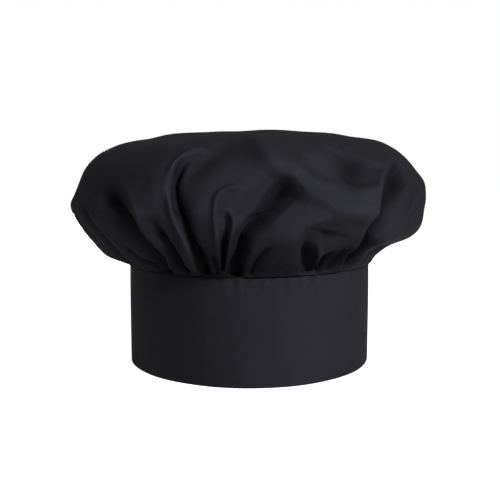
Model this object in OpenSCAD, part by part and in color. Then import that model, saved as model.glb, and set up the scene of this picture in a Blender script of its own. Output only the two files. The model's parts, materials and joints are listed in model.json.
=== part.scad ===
// Chef toque: a gathered, puffed crown on a stiffened band that closes at the back with a
// hook-and-loop tab.
// The band stands on z = 0 around the +Z axis. The forehead is at -Y and the closure is at +Y.
// Angles are measured from +X towards +Y, so the closure is around 90 degrees.

/* [Band] */
// Inside circumference of the band, which is the head size that the closure is set to
head_circumference = 590; // [570:5:610]
// Height of the finished band
band_height = 80; // [76:1:90]

/* [Crown] */
// Widest diameter of the puffed crown
crown_diameter = 284; // [260:2:300]
// Height of the crown's widest point above the seam
crown_waist = 46; // [40:1:54]
// Height of the crown's top above the seam
crown_rise = 103; // [90:1:120]
// Exponent of the crown's upper curve: 2 is an ellipse, and more is flatter on top
crown_fullness = 2.5; // [2:0.1:3]

/* [Cloth] */
// Thickness of one ply of twill with its turnings
ply = 0.6; // [0.5:0.05:0.7]
// Thickness of the fused interfacing, which is also the room for the crown's seam allowance
stiffener = 0.8; // [0.7:0.05:1]
// Thickness of the crown where it stands free of the band
crown_cloth = 0.8; // [0.6:0.1:1]
// Width of the seam allowance that is sewn inside the band
seam_allowance = 10; // [8:1:12]

/* [Closure] */
// Length of the tab along the band
tab_length = 75; // [70:1:84]
// Distance of the tab's long edges from the band's upper and lower edges
tab_margin = 2.5; // [2.5:0.5:6]
// Radius of the tab's two free corners
tab_corner = 8; // [4:1:12]
// Height of each hook or loop tape
tape_height = 20; // [16:1:24]
// Distance between the centre lines of the upper and lower tape
tape_pitch = 36; // [32:1:40]
// Length of each hook tape
hook_length = 50; // [40:1:55]
// Length of each loop tape
loop_length = 96; // [80:1:105]

/* [Hidden] */
$fn = 96;

// Colours
twill = [0.12, 0.12, 0.14];
thread_black = [0.06, 0.06, 0.07];
felt_grey = [0.30, 0.30, 0.32];
tape_black = [0.09, 0.09, 0.10];
label_white = [0.88, 0.88, 0.86];

// Radii of the band's layers, from the inside out
inner_r = head_circumference / (2 * PI);
lining_r = inner_r + ply;
cover_r = lining_r + stiffener;
outer_r = cover_r + ply;
allowance_r = cover_r - 0.3;

// Threads lie on the cloth and stand a little proud of it
thread_w = 0.5;
thread_t = 0.2;
lie = 0.02;

// Hook and loop: a woven base with the pile on it, and the air between the two piles
tape_base = 0.5;
loop_pile = 0.6;
hook_pile = 0.5;
pile_gap = 0.3;
selvage = 2;
mesh_t = 2 * tape_base + loop_pile + hook_pile + pile_gap;

// Tab
tab_in = outer_r + mesh_t;
tab_t = 2 * ply + stiffener;
tab_out = tab_in + tab_t;
tab_r = (tab_in + tab_out) / 2;
tab_z0 = tab_margin;
tab_z1 = band_height - tab_margin;
tab_hem = 0.8;
tab_stitch_inset = 2.5;
fold_bead_r = tab_t / 2 + 0.2;
tab_span = arc_deg(tab_length, tab_r);
root_a = 90 + tab_span / 2;
free_a = 90 - tab_span / 2;
free_x = tab_r * cos(free_a);

// The band's two ends meet under the tab's root, and the overlapping end ramps up to it
slit_a = 0.4;
ramp_a0 = root_a + 0.9;
ramp_a1 = root_a + 5;
bead_a = 1.2;
close_a0 = ramp_a1 + 1;
close_row_a = 2;

tape_z = [band_height / 2 - tape_pitch / 2, band_height / 2 + tape_pitch / 2];
tape_stitch_inset = 0.8;
tape_stitch_a = 0.5;
hook_a0 = free_a + 2.5;
hook_a1 = hook_a0 + arc_deg(hook_length, tab_in);
loop_a1 = root_a - 4;
loop_a0 = loop_a1 - arc_deg(loop_length, outer_r);

label_size = [24, 0.4, 24];
label_place = [0, cover_r, band_height + crown_cloth + lie];
label_stitch_z = 1.5;

crown_steps = 16;

// ---- Shared shapes ----

// Angle in degrees that an arc of this length takes at this radius
function arc_deg(length, radius) = length / radius * 180 / PI;

function polar(r, a) = [r * cos(a), r * sin(a)];

// A panel bent round the band: r, a and z are [low, high]
module arc_panel(r, a, z)
    rotate([0, 0, a[0]])
    rotate_extrude(angle = a[1] - a[0])
    translate([r[0], z[0]])
    square([r[1] - r[0], z[1] - z[0]]);

// A whole ring: r and z are [low, high]
module ring(r, z)
    rotate_extrude()
    translate([r[0], z[0]])
    square([r[1] - r[0], z[1] - z[0]]);

// A rectangle of stitching on a surface of radius r
module stitched_rectangle(r, a, z)
    difference() {
        arc_panel([r + lie, r + thread_t], a, z);
        arc_panel(
            [r - 1, r + 1],
            [a[0] + arc_deg(thread_w, r), a[1] - arc_deg(thread_w, r)],
            [z[0] + thread_w, z[1] - thread_w]
        );
    }

// The tab's outline as seen from the back, pulled in by inset, with its free corners rounded
module tab_outline(inset) {
    end_x = free_x - inset;
    z0 = tab_z0 + inset;
    z1 = tab_z1 - inset;
    corner = tab_corner - inset;
    start_x = -tab_out;
    translate([0, 2 * tab_out, 0])
    rotate([90, 0, 0])
    linear_extrude(2 * tab_out)
    union() {
        translate([start_x, z0]) square([end_x - corner - start_x, z1 - z0]);
        translate([0, z0 + corner]) square([end_x, z1 - z0 - 2 * corner]);
        for (z = [z0 + corner, z1 - corner])
            translate([end_x - corner, z]) circle(corner);
    }
}

// One layer of the tab, from its free end to the angle a1
module tab_layer(r, a1, inset)
    intersection() {
        arc_panel(r, [free_a - 10, a1], [0, band_height]);
        tab_outline(inset);
    }

// ---- Crown ----

// The crown's outline from the seam to the top centre, moved in by a cloth thickness.
// It leaves the seam in a quarter ellipse and closes over the top in a superellipse.
function crown_curve(inset) =
    let (
        wide = crown_diameter / 2 - inset,
        waist_z = band_height + crown_waist,
        drop = crown_waist - inset,
        top = crown_rise - crown_waist - inset,
        power = 2 / crown_fullness
    )
    concat(
        [for (i = [0 : crown_steps])
            let (t = 90 * i / crown_steps)
            [allowance_r + (wide - allowance_r) * sin(t), waist_z - drop * cos(t)]],
        [for (i = [1 : crown_steps])
            let (t = 90 * i / crown_steps)
            [wide * pow(cos(t), power), waist_z + top * pow(sin(t), power)]]
    );

function reversed(list) = [for (i = [len(list) - 1 : -1 : 0]) list[i]];

// A single disc of cloth, gathered at its edge and sewn in between the band's two walls
module crown()
    color(twill)
    rotate_extrude()
    polygon(concat(
        [[allowance_r, band_height - seam_allowance]],
        crown_curve(0),
        reversed(crown_curve(crown_cloth)),
        [[lining_r, band_height + crown_cloth], [lining_r, band_height - seam_allowance]]
    ));

// Two rows of gathering thread that draw the crown's edge in to the band's size
module gathering_threads()
    color(thread_black)
    for (z = [band_height - 8, band_height - 5])
        ring([allowance_r, cover_r], [z, z + 0.4]);

// Overlock stitches round the crown's raw edge
module crown_edge_overlock()
    color(thread_black)
    ring([lining_r, cover_r], [band_height - seam_allowance - 0.8, band_height - seam_allowance]);

// ---- Band ----

// One strip folded along the lower edge: outer wall, fold and inner wall, open where its ends
// meet, with the ramp at which the overlapping end leaves the ring and becomes the tab
module band_shell()
    color(twill)
    union() {
        rotate([0, 0, root_a])
        rotate_extrude(angle = 360 - slit_a)
        polygon([
            [inner_r, 0], [outer_r, 0], [outer_r, band_height], [cover_r, band_height],
            [cover_r, ply], [lining_r, ply], [lining_r, band_height], [inner_r, band_height]
        ]);
        tab_root_ramp();
    }

module tab_root_ramp()
    translate([0, 0, tab_z0])
    linear_extrude(tab_z1 - tab_z0)
    polygon([
        polar(cover_r + ply / 2, ramp_a0),
        polar(tab_in, ramp_a0),
        polar(outer_r + tape_base, (ramp_a0 + ramp_a1) / 2),
        polar(cover_r + ply / 2, ramp_a1)
    ]);

module band_interfacing()
    color(felt_grey)
    arc_panel(
        [lining_r, cover_r],
        [root_a, root_a + 360 - slit_a],
        [ply, band_height - seam_allowance - 0.8]
    );

// The row that holds the seam flat, just under the band's upper edge
module band_edge_stitching()
    color(thread_black)
    ring([outer_r + lie, outer_r + thread_t], [band_height - 2.5, band_height - 2.5 + thread_w]);

// ---- Closure, on the band ----

module loop_tape(z)
    color(tape_black)
    union() {
        arc_panel(
            [outer_r, outer_r + tape_base],
            [loop_a0, loop_a1],
            [z - tape_height / 2, z + tape_height / 2]
        );
        arc_panel(
            [outer_r + tape_base / 2, outer_r + tape_base + loop_pile],
            [loop_a0 + arc_deg(selvage, outer_r), loop_a1 - arc_deg(selvage, outer_r)],
            [z - tape_height / 2 + selvage, z + tape_height / 2 - selvage]
        );
    }

module loop_tape_stitching()
    color(thread_black)
    for (z = tape_z)
        stitched_rectangle(
            outer_r + tape_base,
            [loop_a0 + tape_stitch_a, loop_a1 - tape_stitch_a],
            [z - tape_height / 2 + tape_stitch_inset, z + tape_height / 2 - tape_stitch_inset]
        );

// Two upright rows that close the band's end where the tab leaves it
module tab_root_stitching()
    color(thread_black)
    for (a = [close_a0, close_a0 + close_row_a])
        arc_panel(
            [outer_r + lie, outer_r + thread_t],
            [a, a + arc_deg(thread_w, outer_r)],
            [8, band_height - 8]
        );

// A dense bar of stitches at each end of those rows
module tab_bartacks()
    color(thread_black)
    for (z = [5, band_height - 7])
        arc_panel(
            [outer_r + lie, outer_r + 2 * thread_t],
            [close_a0 - 0.5, close_a0 + close_row_a + 1],
            [z, z + 2]
        );

// ---- Label, inside the crown, standing up from the seam ----

module care_label()
    color(label_white)
    translate(label_place - [label_size[0] / 2, 0, 0])
    cube(label_size);

module care_label_stitching()
    color(thread_black)
    translate(label_place + [1 - label_size[0] / 2, -thread_t, label_stitch_z])
    cube([label_size[0] - 2, thread_t - lie, thread_w]);

// ---- Closure, on the tab ----

// The tab's outer ply, with its edges turned in round the other layers and a rolled fold at the
// root, on the axis that the tab peels about
module tab_shell()
    color(twill)
    union() {
        difference() {
            tab_layer([tab_in, tab_out], root_a, 0);
            tab_layer([tab_in - 1, tab_out - ply], root_a - bead_a, tab_hem);
        }
        translate(concat(polar(tab_r, root_a), [tab_z0]))
            cylinder(r = fold_bead_r, h = tab_z1 - tab_z0);
    }

module tab_facing()
    color(twill)
    tab_layer([tab_in, tab_in + ply], root_a - bead_a, tab_hem);

module tab_interfacing()
    color(felt_grey)
    tab_layer([tab_in + ply, tab_out - ply], root_a - bead_a, tab_hem);

// The row along the tab's lower edge, free end and upper edge
module tab_edge_stitching()
    color(thread_black)
    difference() {
        tab_layer([tab_out + lie, tab_out + thread_t], root_a - 2 * bead_a, tab_stitch_inset);
        tab_layer([tab_out - 1, tab_out + 1], root_a, tab_stitch_inset + thread_w);
    }

module hook_tape(z)
    color(tape_black)
    union() {
        arc_panel(
            [tab_in - tape_base, tab_in],
            [hook_a0, hook_a1],
            [z - tape_height / 2, z + tape_height / 2]
        );
        arc_panel(
            [tab_in - tape_base - hook_pile, tab_in - tape_base / 2],
            [hook_a0 + arc_deg(selvage, tab_in), hook_a1 - arc_deg(selvage, tab_in)],
            [z - tape_height / 2 + selvage, z + tape_height / 2 - selvage]
        );
    }

module hook_tape_stitching()
    color(thread_black)
    for (z = tape_z)
        stitched_rectangle(
            tab_out,
            [hook_a0 + tape_stitch_a, hook_a1 - tape_stitch_a],
            [z - tape_height / 2 + tape_stitch_inset, z + tape_height / 2 - tape_stitch_inset]
        );

// ---- Nodes ----

crown();
gathering_threads();
crown_edge_overlock();
band_shell();
band_interfacing();
band_edge_stitching();
loop_tape(tape_z[1]);  // loop_tape_upper
loop_tape(tape_z[0]);  // loop_tape_lower
loop_tape_stitching();
tab_root_stitching();
tab_bartacks();
care_label();
care_label_stitching();
tab_shell();
tab_facing();
tab_interfacing();
tab_edge_stitching();
hook_tape(tape_z[1]);  // hook_tape_upper
hook_tape(tape_z[0]);  // hook_tape_lower
hook_tape_stitching();
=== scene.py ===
"""Looks for the chef toque: cloth, stitching, closure, floor, light and camera round the CAD frame.

Lengths are in metres. Angles round the hat are in degrees from +X towards +Y, so the front is at
FRONT and the closure is at BACK. A fold is placed by its azimuth from the front, positive towards
+X, and by how far it is up the cloth, from 0 at the seam to 1 at the crown's centre.
"""

import json
import math

import bpy
import numpy as np
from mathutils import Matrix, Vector


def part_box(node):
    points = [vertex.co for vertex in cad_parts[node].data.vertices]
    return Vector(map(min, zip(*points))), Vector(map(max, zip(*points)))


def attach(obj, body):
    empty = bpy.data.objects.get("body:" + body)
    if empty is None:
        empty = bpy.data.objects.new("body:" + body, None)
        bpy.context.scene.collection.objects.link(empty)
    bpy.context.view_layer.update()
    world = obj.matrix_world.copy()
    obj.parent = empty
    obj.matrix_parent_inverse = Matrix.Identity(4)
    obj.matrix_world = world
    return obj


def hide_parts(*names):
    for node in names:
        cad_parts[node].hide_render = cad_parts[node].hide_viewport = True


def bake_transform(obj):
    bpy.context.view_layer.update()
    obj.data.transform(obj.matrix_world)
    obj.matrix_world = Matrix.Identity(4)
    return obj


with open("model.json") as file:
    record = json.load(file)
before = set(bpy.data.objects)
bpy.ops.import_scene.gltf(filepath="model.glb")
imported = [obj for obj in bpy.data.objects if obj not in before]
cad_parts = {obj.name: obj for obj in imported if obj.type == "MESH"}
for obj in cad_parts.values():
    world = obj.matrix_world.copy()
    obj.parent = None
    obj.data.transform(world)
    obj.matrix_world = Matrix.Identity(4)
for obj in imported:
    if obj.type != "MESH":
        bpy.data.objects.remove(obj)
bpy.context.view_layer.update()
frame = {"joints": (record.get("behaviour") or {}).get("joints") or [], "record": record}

MM = 0.001
FRONT = -90.0
BACK = 90.0


# ---- sizes from the frame

_, band_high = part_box("band_shell")
interfacing_low, interfacing_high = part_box("band_interfacing")
crown_low, crown_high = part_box("crown")
label_low, label_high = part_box("care_label")

BAND_TOP = band_high[2]
BAND_OUT = band_high[0]
PLY = interfacing_low[2]
STIFFENER = interfacing_high[0] - (BAND_OUT - 2 * PLY)
BAND_IN = frame["record"]["mounts"][0]["dims"]["r_mm"] * MM
CROWN_R = crown_high[0]
CROWN_TOP = crown_high[2]
ALLOWANCE = BAND_TOP - crown_low[2]
SEAM_R = BAND_OUT - PLY - 0.3 * MM

hinge_x, hinge_y, _ = frame["joints"][0]["pos_m"]
ROOT_ANGLE = math.degrees(math.atan2(hinge_y, hinge_x))
TAB_R = math.hypot(hinge_x, hinge_y)
TAB_THICK = 2 * PLY + STIFFENER
TAB_IN = TAB_R - TAB_THICK / 2
TAB_OUT = TAB_R + TAB_THICK / 2
TAB_LENGTH = math.radians(2 * (ROOT_ANGLE - BACK)) * TAB_R
TAB_CORNER = 8 * MM
tab_low, tab_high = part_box("tab_shell")
TAB_MIDDLE = (tab_low[2] + tab_high[2]) / 2
TAB_HALF = (tab_high[2] - tab_low[2]) / 2
TAPE_BASE = 0.5 * MM


# ---- mesh helpers

def on_ring(angle, radius, z):
    """Points at angles in degrees, radii and heights."""
    a = np.radians(angle)
    return np.stack(np.broadcast_arrays(radius * np.cos(a), radius * np.sin(a), z), -1)


def smoothstep(low, high, x):
    t = np.clip((x - low) / (high - low), 0, 1)
    return t * t * (3 - 2 * t)


def run_along(points):
    """How far each point of a line is along it."""
    return np.r_[0, np.cumsum(np.linalg.norm(np.diff(points, axis=0), axis=1))]


def placed(name, data):
    """A new object in the scene."""
    obj = bpy.data.objects.new(name, data)
    bpy.context.scene.collection.objects.link(obj)
    return obj


def new_object(name, points, faces, uv=None, material=None):
    """A smooth-shaded mesh object. uv holds one pair a vertex, in metres along the flat cloth."""
    mesh = bpy.data.meshes.new(name)
    mesh.from_pydata([tuple(p) for p in np.asarray(points, float)], [], faces)
    mesh.update()
    mesh.polygons.foreach_set("use_smooth", [True] * len(mesh.polygons))
    if uv is not None:
        layer = mesh.uv_layers.new(name="cloth")
        corner_vertex = np.empty(len(mesh.loops), int)
        mesh.loops.foreach_get("vertex_index", corner_vertex)
        layer.data.foreach_set("uv", np.asarray(uv, float)[corner_vertex].ravel())
    if material:
        mesh.materials.append(material)
    return placed(name, mesh)


def grid_faces(columns, rows, closed=False):
    """Quads of a grid whose vertices run along the rows, column by column."""
    faces = []
    for i in range(columns if closed else columns - 1):
        j = (i + 1) % columns
        for k in range(rows - 1):
            faces.append((i * rows + k, j * rows + k, j * rows + k + 1, i * rows + k + 1))
    return faces


def apply_modifiers(obj):
    """Bakes an object's modifiers into its mesh."""
    graph = bpy.context.evaluated_depsgraph_get()
    mesh = bpy.data.meshes.new_from_object(obj.evaluated_get(graph), depsgraph=graph)
    obj.modifiers.clear()
    obj.data = mesh


def thicken(obj, thickness, offset=0.0):
    """Gives a sheet its cloth thickness. An offset of -1 grows it against the normals."""
    solid = obj.modifiers.new("ply", "SOLIDIFY")
    solid.thickness = thickness
    solid.offset = offset
    solid.use_rim = True
    apply_modifiers(obj)


def grid_sheet(name, points, flat, material, thickness):
    """A sheet through a grid of points. flat holds their two coordinates on the flat cloth."""
    uv = np.stack(np.broadcast_arrays(*flat), -1).reshape(-1, 2)
    sheet = new_object(name, points.reshape(-1, 3), grid_faces(*points.shape[:2]), uv=uv,
                       material=material)
    thicken(sheet, thickness)
    return sheet


# ---- materials

def feed(tree, made, **inputs):
    """Sets a node's inputs to numbers, or links them. Underscores stand for spaces in names."""
    for key, value in inputs.items():
        socket = made.inputs[key.replace("_", " ")]
        if isinstance(value, bpy.types.NodeSocket):
            tree.links.new(value, socket)
        else:
            socket.default_value = value
    return made


def add_node(tree, kind, **inputs):
    return feed(tree, tree.nodes.new(kind), **inputs)


def math_node(tree, operation, *values):
    """The result of an operation on numbers and sockets."""
    made = tree.nodes.new("ShaderNodeMath")
    made.operation = operation
    for socket, value in zip(made.inputs, values):
        if isinstance(value, (int, float)):
            socket.default_value = value
        else:
            tree.links.new(value, socket)
    return made.outputs[0]


def added(tree, total, source, share):
    """A total plus a share of one more source."""
    return math_node(tree, "ADD", total, math_node(tree, "MULTIPLY", source, share))


def varied(tree, source, middle, spread=0.2):
    """A number that wanders round its middle with a source from 0 to 1."""
    return math_node(tree, "MULTIPLY_ADD", source, spread, middle - spread / 2)


def ramp_node(tree, factor, low, high):
    """A two-stop colour ramp driven by a factor."""
    made = tree.nodes.new("ShaderNodeValToRGB")
    made.color_ramp.elements[0].color = (*low, 1)
    made.color_ramp.elements[1].color = (*high, 1)
    tree.links.new(factor, made.inputs[0])
    return made.outputs[0]


def texture(tree, place, kind, **inputs):
    """The grey value of a texture at a place on the cloth or the object."""
    return add_node(tree, "ShaderNodeTex" + kind, Vector=place, **inputs).outputs["Fac"]


def object_place(tree):
    return tree.nodes.new("ShaderNodeTexCoord").outputs["Object"]


def bump(tree, height, strength, distance):
    """A fine relief, for a shader's normal."""
    return add_node(tree, "ShaderNodeBump", Height=height, Strength=strength,
                    Distance=distance).outputs[0]


def new_material(name, **inputs):
    """A material, its nodes and its shader with some inputs set."""
    material = bpy.data.materials.new(name)
    material.use_nodes = True
    tree = material.node_tree
    return material, tree, feed(tree, tree.nodes["Principled BSDF"], **inputs)


def twill_weave(tree, cloth, pitch):
    """Diagonal ribs and the finer threads that cross them, in flat cloth coordinates."""
    split = add_node(tree, "ShaderNodeSeparateXYZ", Vector=cloth)
    waves = []
    for direction, turns in (("ADD", 2 * math.pi / pitch), ("SUBTRACT", 4 * math.pi / pitch)):
        diagonal = math_node(tree, direction, split.outputs[0], split.outputs[1])
        waves.append(math_node(tree, "SINE", math_node(tree, "MULTIPLY", diagonal, turns)))
    return added(tree, waves[0], waves[1], 0.4)


def fold_height(tree):
    """The relief that the crown's cloth carries with it, where 1 is 10 mm. Other cloth has 0."""
    made = tree.nodes.new("ShaderNodeAttribute")
    made.attribute_name = "fold"
    return made.outputs["Fac"]


WEAVE_SHARE = 0.10              # shares of what sets a woven cloth's colour; the fold's share is painted shade and highlight
MOTTLE_SHARE = 0.55
# painted shade in the folds' hollows and painted highlight on their ridges, from the fold relief
FOLD_SHADE_AND_HIGHLIGHT_SHARE = 0.5
HOLLOW_ROUGHER = 0.4            # how much rougher a fold's hollow is, for each 10 mm of depth


def woven_cloth(name, dark, light, pitch, roughness, sheen, weave_depth, wear_and_crease_shade, speckle=0.45):
    """Twill with slubs and a mottled dye, sharp ridges a little lighter as from wear and sharp
    creases darker with painted shade, and folds with painted shade in their hollows, a painted
    highlight on their ridges and rougher hollows."""
    material, tree, shader = new_material(
        name, Sheen_Weight=sheen, Sheen_Roughness=0.4, Specular_IOR_Level=0.4,
        Specular_Tint=(0.86, 0.85, 1.0, 1.0))
    flat = tree.nodes.new("ShaderNodeUVMap")
    flat.uv_map = "cloth"
    cloth = flat.outputs[0]
    weave = twill_weave(tree, cloth, pitch)
    slub = texture(tree, cloth, "Noise", Scale=700.0, Detail=3.0, Roughness=0.6)
    mottle = texture(tree, cloth, "Noise", Scale=26.0, Detail=5.0, Roughness=0.62)
    pointed = tree.nodes.new("ShaderNodeNewGeometry").outputs["Pointiness"]
    folded = fold_height(tree)

    raised = math_node(tree, "ADD", weave, 1.4)      # the weave's own values are -1.4 to 1.4
    shade = math_node(tree, "MULTIPLY", raised, WEAVE_SHARE)
    shade = added(tree, shade, slub, speckle)
    shade = added(tree, shade, mottle, MOTTLE_SHARE)
    # Pointiness: sharp ridges lighter as from wear, sharp creases darker, which is painted shade
    shade = added(tree, shade, math_node(tree, "SUBTRACT", pointed, 0.5), wear_and_crease_shade)
    # painted shade: darker where the fold relief goes in; painted highlight: lighter where it stands
    # out
    shade = added(tree, shade, folded, FOLD_SHADE_AND_HIGHLIGHT_SHARE)
    shade = math_node(tree, "SUBTRACT", shade, speckle / 2)
    hollow = math_node(tree, "MINIMUM", folded, 0.0)
    feed(tree, shader, Base_Color=ramp_node(tree, shade, dark, light),
         Roughness=added(tree, varied(tree, slub, roughness), hollow, -HOLLOW_ROUGHER),
         Normal=bump(tree, added(tree, weave, slub, 2.0), strength=0.6, distance=weave_depth))
    return material


def thread_material():
    """Spun polyester thread: satin, with the turns of its ply as a fine bump."""
    material, tree, shader = new_material("thread", Specular_IOR_Level=0.3)
    ply = texture(tree, object_place(tree), "Wave", Scale=700.0, Distortion=2.0, Detail=2.0)
    colour = ramp_node(tree, ply, (0.001, 0.001, 0.0015), (0.005, 0.005, 0.007))
    feed(tree, shader, Base_Color=colour, Roughness=varied(tree, ply, 0.525, spread=0.15),
         Normal=bump(tree, ply, strength=0.4, distance=0.1 * MM))
    return material


def felt_material():
    """Nonwoven interfacing: short pressed fibres."""
    material, tree, shader = new_material("interfacing_felt", Roughness=0.95)
    fibres = texture(tree, object_place(tree), "Noise", Scale=420.0, Detail=6.0, Roughness=0.7,
                     Distortion=1.5)
    colour = ramp_node(tree, fibres, (0.05, 0.05, 0.055), (0.14, 0.14, 0.15))
    feed(tree, shader, Base_Color=colour,
         Normal=bump(tree, fibres, strength=0.7, distance=0.2 * MM))
    return material


def filament_material(name, dark, light, roughness, sheen):
    """Nylon of the tapes' loops and hooks, uneven from one filament to the next."""
    material, tree, shader = new_material(name, Sheen_Weight=sheen, Specular_IOR_Level=0.4)
    mixed = texture(tree, object_place(tree), "Noise", Scale=700.0, Detail=3.0, Roughness=0.6)
    feed(tree, shader, Base_Color=ramp_node(tree, mixed, dark, light),
         Roughness=varied(tree, mixed, roughness))
    return material


twill = woven_cloth(
    "black_twill", dark=(0.0, 0.0, 0.0), light=(0.0080, 0.0078, 0.0111), pitch=0.9 * MM,
    roughness=0.56, sheen=0.0, weave_depth=0.14 * MM, wear_and_crease_shade=0.6, speckle=2.6)
thread = thread_material()
felt = felt_material()
tape_weave = woven_cloth(
    "woven_tape", dark=(0.002, 0.002, 0.0026), light=(0.015, 0.015, 0.0175), pitch=0.7 * MM,
    roughness=0.55, sheen=0.0, weave_depth=0.16 * MM, wear_and_crease_shade=0.4)
pile = filament_material(
    "loop_filament", dark=(0.003, 0.003, 0.004), light=(0.014, 0.014, 0.016), roughness=0.6,
    sheen=0.3)
hook_plastic = filament_material(
    "hook_filament", dark=(0.004, 0.004, 0.005), light=(0.012, 0.012, 0.014), roughness=0.35,
    sheen=0.0)
label_satin = woven_cloth(
    "label_satin", dark=(0.55, 0.55, 0.52), light=(0.88, 0.87, 0.84), pitch=0.5 * MM,
    roughness=0.45, sheen=0.1, weave_depth=0.06 * MM, wear_and_crease_shade=0.2)


# ---- crown

CLOTH_R = 0.250                 # radius that the crown's disc is cut to
SEAM_TO_CENTRE = CLOTH_R - ALLOWANCE
CROWN_PLY = 0.8 * MM

# The crown's outline from the seam to its top centre: how far out from the seam (0) to its
# widest (1), and how far up from the seam (0) to its top (1). The crown leans: its widest place
# is lower on one side, and its shoulder is squarer on the other.
OUTLINE_LOW_SIDE = (
    (0.00, 0.00), (0.012, 0.0015), (0.032, 0.001), (0.055, -0.002), (0.085, -0.001), (0.16, 0.02),
    (0.46, 0.075), (0.64, 0.16), (0.80, 0.26), (0.93, 0.35), (0.985, 0.43), (0.94, 0.49),
    (0.83, 0.59), (0.73, 0.70), (0.58, 0.785), (0.34, 0.855), (-0.06, 0.915), (-0.70, 0.958),
    (-1.40, 0.988), (-2.07, 1.00))
OUTLINE_HIGH_SIDE = (
    (0.00, 0.00), (0.012, 0.0015), (0.032, 0.0015), (0.052, 0.001), (0.075, 0.009), (0.12, 0.045),
    (0.28, 0.12), (0.46, 0.18), (0.74, 0.235), (0.86, 0.30), (0.91, 0.42), (0.94, 0.50),
    (0.91, 0.60), (0.79, 0.68), (0.62, 0.77), (0.38, 0.855), (0.02, 0.928), (-0.60, 0.974),
    (-1.40, 0.992), (-2.07, 1.00))


def curve_through(points, count):
    """Evenly spaced points along a smooth curve through a few given ones."""
    p = np.asarray(points, float)
    ends = np.vstack([2 * p[0] - p[1], p, 2 * p[-1] - p[-2]])
    t = np.linspace(0, 1, 24, endpoint=False)[:, None]
    samples = [0.5 * (2 * b + (c - a) * t + (2 * a - 5 * b + 4 * c - d) * t ** 2
                      + (3 * b - a - 3 * c + d) * t ** 3)
               for a, b, c, d in zip(ends, ends[1:], ends[2:], ends[3:])]
    samples = np.vstack(samples + [p[-1:]])
    run = run_along(samples)
    even = np.linspace(0, run[-1], count)
    return np.stack([np.interp(even, run, samples[:, i]) for i in (0, 1)], 1)


def outline_in_metres(shares, count=1200):
    shape = [(SEAM_R + out * (CROWN_R - SEAM_R), BAND_TOP + up * (CROWN_TOP - BAND_TOP))
             for out, up in shares]
    shape[-1] = (0.0, shape[-1][1])
    return curve_through(shape, count)


LOW_SIDE = outline_in_metres(OUTLINE_LOW_SIDE)
HIGH_SIDE = outline_in_metres(OUTLINE_HIGH_SIDE)


def crown_outline(azimuth, up):
    """The crown without its folds: radius and height at an azimuth and a share of the way up."""
    at = np.linspace(0, 1, len(LOW_SIDE))
    to_high = 0.5 + 0.5 * np.sin(np.radians(azimuth))
    return [np.interp(up, at, LOW_SIDE[:, i]) * (1 - to_high)
            + np.interp(up, at, HIGH_SIDE[:, i]) * to_high for i in (0, 1)]


def fold(path, rise, low, high, lean=0.0, crest=0.6):
    """A fold along a line of (azimuth, share up) points. It stands out by rise, or in where that
    is below 0, spreads to its sides of lower and higher azimuth, leans over towards the higher
    one, and its crest is round to a radius of about crest. These are all in mm."""
    return path, rise, low, high, lean, crest


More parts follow.
